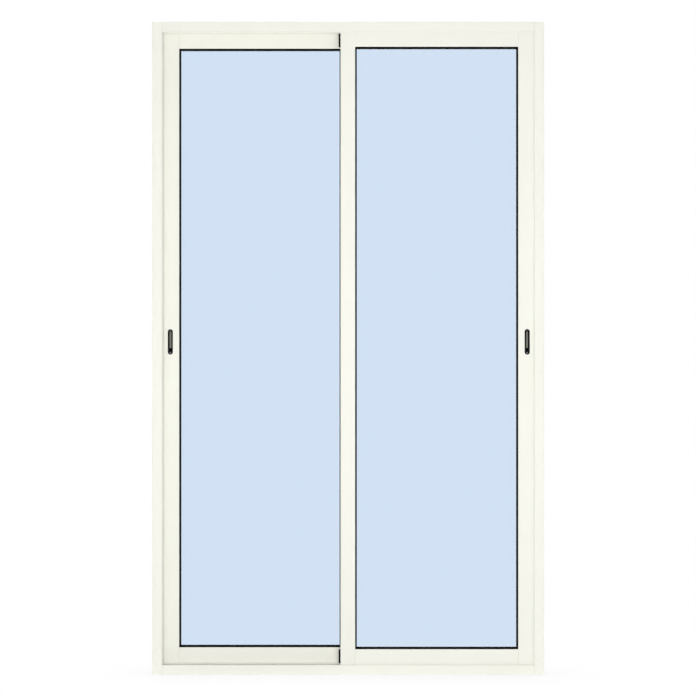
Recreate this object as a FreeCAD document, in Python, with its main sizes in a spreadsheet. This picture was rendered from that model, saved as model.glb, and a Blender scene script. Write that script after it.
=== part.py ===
import FreeCAD, Part
import math
import os
import Sketcher

# Two-leaf sliding patio door in white lacquered aluminium, with double glazing.
# X runs along the sill, Y from the room to the outside, Z up. The origin is the
# middle of the sill's underside. The right leaf runs in the room-side channel
# and the left leaf in the outer one.

SIZES = {
    "frame_width": 1200,
    "frame_height": 2000,
    "frame_face": 30,
    "frame_edge": 0.8,
    "leg_wall": 2,
    "middle_wall": 7,
    "middle_skin": 1.5,
    "jamb_chamber": 12,
    "chamber_wall": 2,
    "head_web": 2,
    "sill_web": 3,
    "sash_thickness": 26,
    "run_clearance": 5,
    "sash_wall": 2,
    "sash_edge": 0.8,
    "sash_foot": 17.5,
    "lift_out_gap": 13,
    "lock_stile_face": 60,
    "meeting_stile_face": 45,
    "meeting_overlap": 23.5,
    "rail_face": 60,
    "glazing_depth": 17,
    "glass_bite": 12,
    "pane_thickness": 4,
    "glass_cavity": 8,
    "spacer_start": 3,
    "spacer_width": 7,
    "gasket_lip": 5,
    "gasket_stem": 8,
    "gasket_recess": 0.6,
    "gasket_slope": 1.8,
    "hook_wall": 1.5,
    "hook_offset": 7,
    "hook_catch": 2,
    "pile_width": 5,
    "pile_gap": 0.5,
    "pile_edge": 4,
    "track_width": 4.5,
    "track_top": 22,
    "track_round": 2,
    "track_foot_width": 12,
    "track_foot_wall": 2,
    "wheel_tread_radius": 10,
    "wheel_flange_radius": 12,
    "wheel_width": 10,
    "wheel_groove": 6,
    "wheel_mouth": 8,
    "wheel_bore_radius": 3.2,
    "seat_gap": 0.3,
    "axle_radius": 3,
    "roller_inset": 70,
    "housing_length": 56,
    "housing_wall": 3,
    "housing_side_gap": 0.5,
    "wind_block_width": 58,
    "wind_block_drop": 42,
    "wind_block_cut": 2,
    "plate_cut": 2,
    "keeper_thickness": 1.5,
    "keeper_width": 22,
    "keeper_height": 110,
    "keeper_slot_width": 10,
    "keeper_slot_height": 36,
    "latch_height": 1020,
    "latch_backset": 32.5,
    "escutcheon_length": 78,
    "escutcheon_width": 15.5,
    "escutcheon_proud": 1,
    "escutcheon_edge": 0.4,
    "latch_case_length": 70,
    "latch_case_width": 11.5,
    "latch_case_depth": 18,
    "latch_cut_clearance": 0.25,
    "recess_length": 64,
    "recess_width": 9,
    "recess_depth": 10,
    "recess_rise": 3.5,
    "trigger_length": 52,
    "trigger_width": 5.5,
    "trigger_depth": 5,
    "trigger_rise": 6.5,
    "trigger_edge": 0.8,
    "hook_thickness": 3,
    "hook_height": 26,
    "hook_setback": 0.3,
    "faceplate_width": 16,
    "faceplate_height": 120,
    "faceplate_slot_width": 6,
    "faceplate_slot_height": 30,
    "fixing_radius": 4,
    "fixing_outer_span": 1700,
    "fixing_inner_span": 600,
    "drain_spacing": 400,
    "drain_length": 30,
    "drain_height": 6,
    "drain_cover_margin": 5,
    "drain_cover_depth": 6,
    "drain_cover_lip": 4,
    "drain_cover_top": 2.5,
    "drain_cover_wall": 1.5,
}

document = FreeCAD.newDocument("SlidingDoor")
sheet = document.addObject("Spreadsheet::Sheet", "Sizes")
for row, (alias, number) in enumerate(SIZES.items(), start=1):
    sheet.set(f"A{row}", alias)
    sheet.set(f"B{row}", str(number))
    sheet.setAlias(f"B{row}", alias)
document.recompute()


class Size:
    """A length that keeps its sheet formula beside its present value."""

    def __init__(self, formula, number):
        self.formula = formula
        self.number = number

    @staticmethod
    def of(thing):
        """The thing itself, or a plain number as a size."""
        return thing if isinstance(thing, Size) else Size(repr(thing), thing)

    def __add__(self, other):
        other = Size.of(other)
        return Size(f"({self.formula} + {other.formula})", self.number + other.number)

    def __sub__(self, other):
        other = Size.of(other)
        return Size(f"({self.formula} - {other.formula})", self.number - other.number)

    def __mul__(self, other):
        other = Size.of(other)
        return Size(f"({self.formula} * {other.formula})", self.number * other.number)

    def __truediv__(self, other):
        other = Size.of(other)
        return Size(f"({self.formula} / {other.formula})", self.number / other.number)

    def __neg__(self):
        return Size(f"(-1 * {self.formula})", -self.number)

    __rmul__ = __mul__


def size(alias):
    """The sheet's cell of that name."""
    return Size(f"Sizes.{alias}", float(SIZES[alias]))


ZERO = Size("0", 0.0)

# The most of a wall that a cut along one of its edges may take, and the gap
# under which two places are the same.
EDGE_SHARE = 0.45
TOUCH = 1e-6


def limited(cut, wall):
    """A cut along an edge, kept under half of the wall that it is on."""
    most = EDGE_SHARE * wall
    return Size(f"min({cut.formula}; {most.formula})", min(cut.number, most.number))


# Places in the frame's plan
half_width = size("frame_width") / 2
channel = size("sash_thickness") + 2 * size("run_clearance")
half_middle = size("middle_wall") / 2
half_cavity = half_middle - size("middle_skin")
channel_outer = half_middle + channel
half_depth = channel_outer + size("leg_wall")
track_centre = half_middle + channel / 2
jamb_floor = half_width - size("jamb_chamber")
leg_edge = half_width - size("frame_face")

# Heights in the frame
head_underside = size("frame_height") - size("head_web")
head_leg_edge = size("frame_height") - size("frame_face")
sill_leg_edge = size("frame_face")

# Places in a leaf, seen from the room on the right leaf
half_sash = size("sash_thickness") / 2
half_glazing = half_sash - size("sash_wall")
sash_outer = jamb_floor - size("keeper_thickness") - size("run_clearance")
sash_inner = -size("meeting_overlap")
lock_daylight = sash_outer - size("lock_stile_face")
meeting_daylight = sash_inner + size("meeting_stile_face")
sash_bottom = size("sash_foot")
sash_top = head_underside - size("lift_out_gap")
bottom_daylight = sash_bottom + size("rail_face")
top_daylight = sash_top - size("rail_face")
half_unit = size("glass_cavity") / 2 + size("pane_thickness")

# The right leaf stands in the room-side channel, the left one is turned about
# the upright axis into the outer channel.
RIGHT = FreeCAD.Placement(FreeCAD.Vector(), FreeCAD.Rotation())
LEFT = FreeCAD.Placement(FreeCAD.Vector(), FreeCAD.Rotation(FreeCAD.Vector(0, 0, 1), 180))


def new_body(name, turn=RIGHT, base=(ZERO, ZERO, ZERO)):
    """An empty body, turned and then carried to its place."""
    body = document.addObject("PartDesign::Body", name)
    body.Label = name
    body.Placement = turn
    for axis, shift in zip("xyz", base):
        body.setExpression(f"Placement.Base.{axis}", shift.formula)
    return body


def new_sketch(body, plane, height=ZERO, rise=ZERO):
    """An empty sketch on one of the body's own planes, lifted off it by a height.

    The rise moves the sketch's own origin up along that plane.
    """
    sketch = body.newObject("Sketcher::SketchObject", f"{body.Name}_sketch")
    support = next(f for f in body.Origin.OriginFeatures if f.Role == plane)
    sketch.AttachmentSupport = [(support, "")]
    sketch.MapMode = "FlatFace"
    sketch.setExpression("AttachmentOffset.Base.y", rise.formula)
    sketch.setExpression("AttachmentOffset.Base.z", height.formula)
    return sketch


def pin_point(sketch, line, end, corner):
    """Holds one end of a sketch edge at a corner given as two sizes."""
    for kind, place in zip(("DistanceX", "DistanceY"), corner):
        rule = Sketcher.Constraint(kind, -1, 1, line, end, place.number)
        index = sketch.addConstraint(rule)
        sketch.setExpression(f"Constraints[{index}]", place.formula)


def draw_outline(sketch, corners):
    """A closed outline of straight edges through the corners."""
    points = [FreeCAD.Vector(x.number, y.number, 0) for x, y in corners]
    first = sketch.GeometryCount
    count = len(points)
    for i in range(count):
        sketch.addGeometry(Part.LineSegment(points[i], points[(i + 1) % count]))
    for i in range(count):
        following = first + (i + 1) % count
        sketch.addConstraint(Sketcher.Constraint("Coincident", first + i, 2, following, 1))
        pin_point(sketch, first + i, 1, corners[i])


def move_toward(corner, neighbour, distance):
    """The point at a distance from one corner of a square outline toward the next."""
    moved = []
    for here, there in zip(corner, neighbour):
        gap = (there - here).number
        if abs(gap) > TOUCH:
            here = here + math.copysign(1, gap) * distance
        moved.append(here)
    return tuple(moved)


def cut_corners(corners, places, cut):
    """The same outline with the corners at some places cut off at 45 degrees."""
    outline = []
    for i, corner in enumerate(corners):
        if i in places:
            for neighbour in (corners[i - 1], corners[(i + 1) % len(corners)]):
                outline.append(move_toward(corner, neighbour, cut))
        else:
            outline.append(corner)
    return outline


def rectangle(x_low, x_high, y_low, y_high):
    """The four corners between four sizes, in order."""
    return [(x_low, y_low), (x_high, y_low), (x_high, y_high), (x_low, y_high)]


def draw_rectangle(sketch, x_low, x_high, y_low, y_high):
    """A closed rectangle between four sizes."""
    draw_outline(sketch, rectangle(x_low, x_high, y_low, y_high))


def draw_circle(sketch, centre, radius):
    """A circle held by its centre and radius."""
    middle = FreeCAD.Vector(centre[0].number, centre[1].number, 0)
    circle = sketch.addGeometry(Part.Circle(middle, FreeCAD.Vector(0, 0, 1), radius.number))
    pin_point(sketch, circle, 3, centre)
    index = sketch.addConstraint(Sketcher.Constraint("Radius", circle, radius.number))
    sketch.setExpression(f"Constraints[{index}]", radius.formula)


def draw_stadium(sketch, centre, width, length):
    """An upright slot shape with half-round ends."""
    radius = width / 2
    reach = length / 2 - radius
    x, y = centre
    left, right = (x - radius).number, (x + radius).number
    low, high = (y - reach).number, (y + reach).number
    up = FreeCAD.Vector(0, 0, 1)
    top = Part.ArcOfCircle(Part.Circle(FreeCAD.Vector(x.number, high, 0), up, radius.number), 0, math.pi)
    bottom = Part.ArcOfCircle(
        Part.Circle(FreeCAD.Vector(x.number, low, 0), up, radius.number), math.pi, 2 * math.pi
    )
    edges = [
        sketch.addGeometry(top),
        sketch.addGeometry(Part.LineSegment(FreeCAD.Vector(left, high, 0), FreeCAD.Vector(left, low, 0))),
        sketch.addGeometry(bottom),
        sketch.addGeometry(Part.LineSegment(FreeCAD.Vector(right, low, 0), FreeCAD.Vector(right, high, 0))),
    ]
    for i in range(4):
        rule = Sketcher.Constraint("Tangent", edges[i], 2, edges[(i + 1) % 4], 1)
        sketch.addConstraint(rule)
    pin_point(sketch, edges[0], 3, (x, y + reach))
    pin_point(sketch, edges[2], 3, (x, y - reach))
    index = sketch.addConstraint(Sketcher.Constraint("Radius", edges[0], radius.number))
    sketch.setExpression(f"Constraints[{index}]", radius.formula)


def add_pad(body, sketch, length, backwards=False):
    """Raises a sketch along its plane's normal, or against it."""
    pad = body.newObject("PartDesign::Pad", f"{body.Name}_pad")
    pad.Profile = sketch
    pad.setExpression("Length", length.formula)
    pad.Reversed = backwards
    document.recompute()
    return pad


def add_pocket(body, sketch, depth, backwards=False):
    """Sinks a sketch against its plane's normal, or along it, and proves that it cut."""
    before = body.Shape.Volume
    pocket = body.newObject("PartDesign::Pocket", f"{body.Name}_pocket")
    pocket.Profile = sketch
    pocket.setExpression("Length", depth.formula)
    pocket.Reversed = backwards
    document.recompute()
    if not body.Shape.Volume < before:
        raise RuntimeError(f"a pocket of {body.Label} cuts nothing")
    return pocket


def add_turn(body, sketch):
    """Spins a sketch once about its own level axis."""
    turn = body.newObject("PartDesign::Revolution", f"{body.Name}_turn")
    turn.Profile = sketch
    turn.ReferenceAxis = (sketch, ["H_Axis"])
    turn.Angle = 360
    document.recompute()
    return turn


def cut_edges(body, base, kind, amount, chosen):
    """Rounds or chamfers those edges of a feature whose end points are chosen."""
    names = []
    for number, edge in enumerate(base.Shape.Edges, start=1):
        if chosen([vertex.Point for vertex in edge.Vertexes]):
            names.append(f"Edge{number}")
    if not names:
        raise RuntimeError(f"{body.Label} has no such edges")
    feature = body.newObject(f"PartDesign::{kind}", f"{body.Name}_edges")
    feature.Base = (base, names)
    feature.setExpression({"Fillet": "Radius", "Chamfer": "Size"}[kind], amount.formula)
    document.recompute()
    return feature


# Each list below draws one profile's outer edge, in order.

BACK_CORNERS = (0, 1)
LEG_CORNERS = (2, 3, 6, 7, 10, 11)



def frame_profile(deep, floor, edge, eased):
    """The outline shared by head, sill and jambs: a back with three legs.

    The pairs are (across, along), across from the room to the outside and
    along from the back of the profile to the edge of its legs. The eased
    corners are taken off.
    """
    corners = [
        (-half_depth, deep),
        (half_depth, deep),
        (half_depth, edge),
        (channel_outer, edge),
        (channel_outer, floor),
        (half_middle, floor),
        (half_middle, edge),
        (-half_middle, edge),
        (-half_middle, floor),
        (-channel_outer, floor),
        (-channel_outer, edge),
        (-half_depth, edge),
    ]
    return cut_corners(corners, eased, limited(size("frame_edge"), size("leg_wall")))


def swap(corners):
    """The same corners with their two places exchanged."""
    return [(y, x) for x, y in corners]


def jamb(name, turn):
    """An upright of the frame: hollow back, two outer legs and a hollow middle wall."""
    body = new_body(name, turn)
    sketch = new_sketch(body, "XY_Plane")
    eased = BACK_CORNERS + LEG_CORNERS
    draw_outline(sketch, swap(frame_profile(half_width, jamb_floor, leg_edge, eased)))
    wall = size("chamber_wall")
    for side in (-1, 1):
        near = side * (wall / 2)
        far = side * (half_depth - wall)
        draw_rectangle(sketch, jamb_floor + wall, half_width - wall, near, far)
    draw_rectangle(sketch, leg_edge + size("middle_skin"), jamb_floor, -half_cavity, half_cavity)
    add_pad(body, sketch, size("frame_height"))
    # Fixing holes through the floor of the empty channel
    holes = new_sketch(body, "YZ_Plane", jamb_floor)
    middle = size("frame_height") / 2
    for span in (size("fixing_outer_span"), size("fixing_inner_span")):
        for end in (-1, 1):
            draw_circle(holes, (track_centre, middle + end * (span / 2)), size("fixing_radius"))
    add_pocket(body, holes, size("jamb_chamber"), backwards=True)
    # Opening behind the keeper for the latch hook
    slot = new_sketch(body, "YZ_Plane", jamb_floor)
    half_slot = size("keeper_slot_width") / 2
    reach = size("keeper_slot_height") / 2
    height = size("latch_height")
    draw_rectangle(
        slot, -track_centre - half_slot, -track_centre + half_slot, height - reach, height + reach
    )
    add_pocket(body, slot, size("chamber_wall"), backwards=True)
    return body


def add_end_tongues(body, low, thickness):
    """Carries the web on between the jambs' legs, up to their chambers."""
    sketch = new_sketch(body, "XY_Plane", low)
    for side in (-1, 1):
        for face in (-1, 1):
            across = (face * half_middle, face * channel_outer)
            draw_rectangle(sketch, side * leg_edge, side * jamb_floor, *across)
    add_pad(body, sketch, thickness)


def head():
    """The top of the frame, cut between the jambs' legs."""
    body = new_body("frame_head")
    sketch = new_sketch(body, "YZ_Plane", -leg_edge)
    eased = BACK_CORNERS + LEG_CORNERS
    draw_outline(sketch, frame_profile(size("frame_height"), head_underside, head_leg_edge, eased))
    draw_rectangle(
        sketch, -half_cavity, half_cavity, head_leg_edge + size("middle_skin"), head_underside
    )
    add_pad(body, sketch, 2 * leg_edge)
    add_end_tongues(body, head_underside, size("head_web"))
    return body


def drain_places():
    """Where the sill drains, from left to right."""
    return [-size("drain_spacing"), ZERO, size("drain_spacing")]


def sill():
    """The threshold, drained through the middle wall and the outer leg."""
    body = new_body("frame_sill")
    sketch = new_sketch(body, "YZ_Plane", -leg_edge)
    draw_outline(sketch, frame_profile(ZERO, size("sill_web"), sill_leg_edge, LEG_CORNERS))
    draw_rectangle(
        sketch, -half_cavity, half_cavity, size("sill_web"), sill_leg_edge - size("middle_skin")
    )
    add_pad(body, sketch, 2 * leg_edge)
    add_end_tongues(body, ZERO, size("sill_web"))
    slots = new_sketch(body, "XZ_Plane", half_middle)
    for place in drain_places():
        half_slot = size("drain_length") / 2
        draw_rectangle(
            slots,
            place - half_slot,
            place + half_slot,
            size("sill_web"),
            size("sill_web") + size("drain_height"),
        )
    add_pocket(body, slots, half_middle + half_depth)
    return body


def hood_outline(low, high, wall):
    """The side view of a drain hood, or of its inside at a wall's distance."""
    lip = low + size("drain_cover_lip")
    return [
        (half_depth, low),
        (half_depth + size("drain_cover_depth") - wall, low),
        (half_depth + size("drain_cover_depth") - wall, lip - wall),
        (half_depth + size("drain_cover_top") - wall, high - wall),
        (half_depth, high - wall),
    ]


def drain_covers():
    """Small hoods with a sloped front, open below, over the drains on the outer face."""
    body = new_body("drain_covers")
    margin = size("drain_cover_margin")
    wall = size("drain_cover_wall")
    low = size("sill_web")
    high = low + size("drain_height") + margin
    half_cover = size("drain_length") / 2 + margin
    for place in drain_places():
        outside = new_sketch(body, "YZ_Plane", place - half_cover)
        draw_outline(outside, hood_outline(low, high, ZERO))
        add_pad(body, outside, 2 * half_cover)
    for place in drain_places():
        inside = new_sketch(body, "YZ_Plane", place - half_cover + wall)
        draw_outline(inside, hood_outline(low, high, wall))
        add_pocket(body, inside, 2 * (half_cover - wall), backwards=True)
    return body


def track_rail(name, side):
    """The round-topped rail on which one leaf's wheels run."""
    body = new_body(name, base=(ZERO, side * track_centre, ZERO))
    half_foot = size("track_foot_width") / 2
    half_rib = size("track_width") / 2
    low = size("sill_web")
    foot_top = low + size("track_foot_wall")
    top = size("track_top")
    sketch = new_sketch(body, "YZ_Plane", -leg_edge)
    draw_outline(
        sketch,
        [
            (-half_foot, low),
            (half_foot, low),
            (half_foot, foot_top),
            (half_rib, foot_top),
            (half_rib, top),
            (-half_rib, top),
            (-half_rib, foot_top),
            (-half_foot, foot_top),
        ],
    )
    rail = add_pad(body, sketch, 2 * leg_edge)

    def along_top(ends):
        level = all(abs(end.z - top.number) < TOUCH for end in ends)
        return level and abs(ends[0].y - ends[-1].y) < TOUCH

    cut_edges(body, rail, "Fillet", limited(size("track_round"), size("track_width")), along_top)
    return body


def wind_block(name, seat, away):
    """A black block on the middle wall that closes the joint between the leaves."""
    body = new_body(name)
    half_block = size("wind_block_width") / 2
    sketch = new_sketch(body, "XZ_Plane", -half_middle)
    corners = rectangle(-half_block, half_block, seat, seat + away * size("wind_block_drop"))
    draw_outline(sketch, cut_corners(corners, (2, 3), size("wind_block_cut")))
    add_pad(body, sketch, size("middle_wall"))
    return body


def draw_slotted_plate(sketch, middle, plate):
    """An upright plate at the latch's height, with clipped corners and a slot for the hook."""
    height = size("latch_height")
    for part, cut in (("", size("plate_cut")), ("_slot", ZERO)):
        half_plate = size(f"{plate}{part}_width") / 2
        reach = size(f"{plate}{part}_height") / 2
        corners = rectangle(middle - half_plate, middle + half_plate, height - reach, height + reach)
        clipped = range(len(corners)) if cut.number else ()
        draw_outline(sketch, cut_corners(corners, clipped, cut))


def keeper(name, turn):
    """The strike plate on the jamb's floor that the latch hook enters."""
    body = new_body(name, turn)
    sketch = new_sketch(body, "YZ_Plane", jamb_floor)
    draw_slotted_plate(sketch, -track_centre, "keeper")
    add_pad(body, sketch, size("keeper_thickness"), backwards=True)
    return body


class Leaf:
    """One glazed leaf, described as the right one and turned into its channel."""

    def __init__(self, side, turn, hand):
        self.side = side
        self.turn = turn
        self.hand = hand
        self.place = (ZERO, -hand * track_centre, ZERO)

    def body(self, piece):
        """An empty body of this leaf."""
        return new_body(f"{self.side}_{piece}", self.turn, self.place)

    def build(self):
        """All the pieces of the leaf."""
        self.lock_stile()
        self.meeting_stile()
        self.interlock()
        self.top_rail()
        self.bottom_rail()
        for face, toward in (("room", -self.hand), ("outer", self.hand)):
            self.pane(f"{face}_pane", toward)
            self.gasket(f"{face}_gasket", toward)
        self.spacer()
        self.pile_seals()
        self.roller_housings()
        self.roller_wheels()
        self.latch_body()
        self.latch_trigger()
        self.latch_faceplate()

    def glazed_profile(self, daylight, back, toward):
        """A tube with a glazing channel, from the daylight edge to its back."""
        wall = size("sash_wall")
        floor = daylight + toward * size("glazing_depth")
        outline = [
            (daylight, -half_sash),
            (back, -half_sash),
            (back, half_sash),
            (daylight, half_sash),
            (daylight, half_glazing),
            (floor, half_glazing),
            (floor, -half_glazing),
            (daylight, -half_glazing),
        ]
        outline = cut_corners(outline, (0, 1, 2, 3), limited(size("sash_edge"), wall))
        chamber = (floor + toward * wall, back - toward * wall, -half_glazing, half_glazing)
        return outline, chamber

    def track_notch(self, body):
        """Clears the track rail under a stile's foot."""
        half_notch = size("track_width") / 2 + size("run_clearance")
        sketch = new_sketch(body, "YZ_Plane", sash_inner)
        draw_rectangle(
            sketch, -half_notch, half_notch, sash_bottom, size("track_top") + size("run_clearance")
        )
        add_pocket(body, sketch, sash_outer - sash_inner, backwards=True)

    def lock_stile(self):
        """The upright beside the jamb, cut for the latch and its faceplate."""
        body = self.body("lock_stile")
        sketch = new_sketch(body, "XY_Plane", sash_bottom)
        outline, chamber = self.glazed_profile(lock_daylight, sash_outer, 1)
        draw_outline(sketch, outline)
        draw_rectangle(sketch, *chamber)
        add_pad(body, sketch, sash_top - sash_bottom)
        self.track_notch(body)
        clearance = 2 * size("latch_cut_clearance")
        window = new_sketch(body, "XZ_Plane", self.hand * half_sash)
        draw_stadium(
            window,
            (sash_outer - size("latch_backset"), size("latch_height")),
            size("latch_case_width") + clearance,
            size("latch_case_length") + clearance,
        )
        add_pocket(body, window, size("sash_wall"), backwards=self.hand < 0)
        edge = new_sketch(body, "YZ_Plane", sash_outer)
        half_plate = (size("faceplate_width") + clearance) / 2
        reach = (size("faceplate_height") + clearance) / 2
        draw_rectangle(
            edge, -half_plate, half_plate, size("latch_height") - reach, size("latch_height") + reach
        )
        add_pocket(body, edge, size("sash_wall"))

    def meeting_stile(self):
        """The upright in the middle of the door."""
        body = self.body("meeting_stile")
        sketch = new_sketch(body, "XY_Plane", sash_bottom)
        outline, chamber = self.glazed_profile(meeting_daylight, sash_inner, -1)
        draw_outline(sketch, outline)
        draw_rectangle(sketch, *chamber)
        add_pad(body, sketch, sash_top - sash_bottom)
        self.track_notch(body)

    def interlock(self):
        """The hook along the meeting stile that catches the other leaf's hook."""
        body = self.body("interlock")
        clearance = size("run_clearance")
        drop = size("wind_block_drop") + clearance
        low = sill_leg_edge + drop
        high = head_leg_edge - drop
        sketch = new_sketch(body, "XY_Plane", low)
        wall = size("hook_wall")
        root = -size("hook_offset")
        tip = size("hook_catch") / 2
        reach = half_sash + size("middle_wall") + clearance
        draw_outline(
            sketch,
            [
                (root, half_sash),
                (root + wall, half_sash),
                (root + wall, reach - wall),
                (tip, reach - wall),
                (tip, reach),
                (root, reach),
            ],
        )
        add_pad(body, sketch, high - low)

    def top_rail(self):
        """The closed rail under the head."""
        body = self.body("top_rail")
        sketch = new_sketch(body, "YZ_Plane", meeting_daylight)
        outline, chamber = self.glazed_profile(top_daylight, sash_top, 1)
        draw_outline(sketch, swap(outline))
        draw_rectangle(sketch, chamber[2], chamber[3], chamber[0], chamber[1])
        add_pad(body, sketch, lock_daylight - meeting_daylight)

    def bottom_rail(self):
        """The rail over the sill, open below for the rollers."""
        body = self.body("bottom_rail")
        sketch = new_sketch(body, "YZ_Plane", meeting_daylight)
        floor = bottom_daylight - size("glazing_depth")
        wall = size("sash_wall")
        under = floor - wall
        outline = cut_corners(
            [
                (-half_sash, sash_bottom),
                (-half_glazing, sash_bottom),
                (-half_glazing, under),
                (half_glazing, under),
                (half_glazing, sash_bottom),
                (half_sash, sash_bottom),
                (half_sash, bottom_daylight),
                (half_glazing, bottom_daylight),
                (half_glazing, floor),
                (-half_glazing, floor),
                (-half_glazing, bottom_daylight),
                (-half_sash, bottom_daylight),
            ],
            (0, 5, 6, 11),
            limited(size("sash_edge"), wall),
        )
        draw_outline(sketch, outline)
        add_pad(body, sketch, lock_daylight - meeting_daylight)

    def around_daylight(self, sketch, grow):
        """A rectangle that stands outside the daylight opening by a size."""
        draw_rectangle(
            sketch,
            meeting_daylight - grow,
            lock_daylight + grow,
            bottom_daylight - grow,
            top_daylight + grow,
        )

    def pane(self, piece, toward):
        """One sheet of the double glazing."""
        body = self.body(piece)
        sketch = new_sketch(body, "XZ_Plane", -toward * (size("glass_cavity") / 2))
        self.around_daylight(sketch, size("glass_bite"))
        add_pad(body, sketch, size("pane_thickness"), backwards=toward > 0)

    def spacer(self):
        """The bar that holds the two panes apart."""
        body = self.body("spacer")
        sketch = new_sketch(body, "XZ_Plane", -size("glass_cavity") / 2)
        self.around_daylight(sketch, size("spacer_start"))
        self.around_daylight(sketch, size("spacer_start") + size("spacer_width"))
        add_pad(body, sketch, size("glass_cavity"))

    def gasket(self, piece, toward):
        """The black glazing gasket: a stem beside the pane and a sloped lip over it."""
        body = self.body(piece)
        backwards = toward > 0
        stem = new_sketch(body, "XZ_Plane", -toward * half_unit)
        self.around_daylight(stem, size("gasket_stem"))
        self.around_daylight(stem, -size("gasket_lip"))
        add_pad(body, stem, half_glazing - half_unit, backwards)
        lip = new_sketch(body, "XZ_Plane", -toward * half_glazing)
        self.around_daylight(lip, ZERO)
        self.around_daylight(lip, -size("gasket_lip"))
        top = half_sash - size("gasket_recess")
        raised = add_pad(body, lip, top - half_glazing, backwards)
        near = (meeting_daylight + size("gasket_lip") / 2).number
        far = (lock_daylight - size("gasket_lip") / 2).number

        def along_glass(ends):
            level = all(abs(end.y - toward * top.number) < TOUCH for end in ends)
            return level and all(near < end.x < far for end in ends)

        cut_edges(body, raised, "Chamfer", limited(size("gasket_slope"), size("gasket_lip")), along_glass)

    def pile_seals(self):
        """Brush strips on both faces of the leaf where the frame's legs pass."""
        body = self.body("pile_seals")
        width = size("pile_width")
        edge = size("pile_edge")
        proud = size("run_clearance") - size("pile_gap")
        top_high = sash_top - edge
        foot_low = sash_bottom + edge
        stile_far = sash_outer - edge
        for face in (-1, 1):
            sketch = new_sketch(body, "XZ_Plane", -face * half_sash)
            draw_rectangle(sketch, sash_inner, stile_far, top_high - width, top_high)
            draw_rectangle(sketch, sash_inner, stile_far, foot_low, foot_low + width)
            draw_rectangle(
                sketch, stile_far - width, stile_far, foot_low + 2 * width, top_high - 2 * width
            )
            add_pad(body, sketch, proud, backwards=face > 0)

    def roller_places(self):
        """Where the leaf's two rollers stand."""
        inset = size("roller_inset")
        return [meeting_daylight + inset, lock_daylight - inset]

    def wheel_height(self):
        """The height of the wheels' axles."""
        return size("track_top") + size("seat_gap") + size("wheel_tread_radius")

    def roller_housings(self):
        """Carriers in the bottom rail, each with two cheeks, a roof and an axle."""
        body = self.body("roller_housings")
        wall = size("housing_wall")
        side = half_glazing - size("housing_side_gap")
        roof = bottom_daylight - size("glazing_depth") - size("sash_wall")
        foot = size("track_top") + size("run_clearance")
        half_length = size("housing_length") / 2
        outline = new_sketch(body, "XZ_Plane", -side)
        inside = new_sketch(body, "XZ_Plane", -side + wall)
        axles = new_sketch(body, "XZ_Plane", -side)
        for place in self.roller_places():
            draw_rectangle(outline, place - half_length, place + half_length, foot, roof)
            draw_rectangle(inside, place - half_length, place + half_length, foot, roof - wall)
            draw_circle(axles, (place, self.wheel_height()), size("axle_radius"))
        add_pad(body, outline, 2 * side)
        add_pocket(body, inside, 2 * (side - wall), backwards=True)
        add_pad(body, axles, 2 * side)

    def roller_wheels(self):
        """Grooved wheels that straddle the track rail."""
        body = self.body("roller_wheels")
        half_wheel = size("wheel_width") / 2
        half_groove = size("wheel_groove") / 2
        half_mouth = size("wheel_mouth") / 2
        bore = size("wheel_bore_radius")
        tread = size("wheel_tread_radius")
        flange = size("wheel_flange_radius")
        for place in self.roller_places():
            sketch = new_sketch(body, "YZ_Plane", place, self.wheel_height())
            draw_outline(
                sketch,
                [
                    (-half_wheel, bore),
                    (half_wheel, bore),
                    (half_wheel, flange),
                    (half_mouth, flange),
                    (half_groove, tread),
                    (-half_groove, tread),
                    (-half_mouth, flange),
                    (-half_wheel, flange),
                ],
            )
            add_turn(body, sketch)

    def latch_body_at(self, piece):
        """An empty body at the latch's middle, on the leaf's room face."""
        across = self.hand * (sash_outer - size("latch_backset"))
        face = -self.hand * track_centre - half_sash
        return new_body(f"{self.side}_{piece}", RIGHT, (across, face, size("latch_height")))

    def on_face(self, height):
        """A test for edges that lie at a height over the leaf's room face."""
        return lambda ends: all(abs(end.y + height.number) < TOUCH for end in ends)

    def latch_body(self):
        """The black latch: a proud rim, a case in the stile and a finger recess."""
        body = self.latch_body_at("latch_body")
        rim = new_sketch(body, "XZ_Plane")
        draw_stadium(rim, (ZERO, ZERO), size("escutcheon_width"), size("escutcheon_length"))
        raised = add_pad(body, rim, size("escutcheon_proud"))
        edge_cut = limited(size("escutcheon_edge"), size("escutcheon_proud"))
        cut_edges(body, raised, "Chamfer", edge_cut, self.on_face(size("escutcheon_proud")))
        case = new_sketch(body, "XZ_Plane")
        draw_stadium(case, (ZERO, ZERO), size("latch_case_width"), size("latch_case_length"))
        add_pad(body, case, size("latch_case_depth"), backwards=True)
        lock = new_sketch(body, "XZ_Plane", -size("sash_wall"))
        half_case = size("latch_case_width") / 2
        reach = size("latch_case_length") / 2 - half_case
        edge = size("latch_backset") - size("sash_wall")
        draw_rectangle(lock, self.hand * half_case / 2, self.hand * edge, -reach, reach)
        add_pad(body, lock, size("latch_case_depth") - size("sash_wall"), backwards=True)
        half_hook = size("hook_thickness") / 2
        hook = new_sketch(body, "XZ_Plane", half_hook - half_sash)
        nose = size("latch_backset") - size("hook_setback")
        tall = size("hook_height") / 2
        draw_rectangle(hook, self.hand * edge, self.hand * nose, -tall, tall)
        add_pad(body, hook, size("hook_thickness"), backwards=True)
        recess = new_sketch(body, "XZ_Plane", size("escutcheon_proud"))
        draw_stadium(recess, (ZERO, size("recess_rise")), size("recess_width"), size("recess_length"))
        add_pocket(body, recess, size("escutcheon_proud") + size("recess_depth"))

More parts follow.
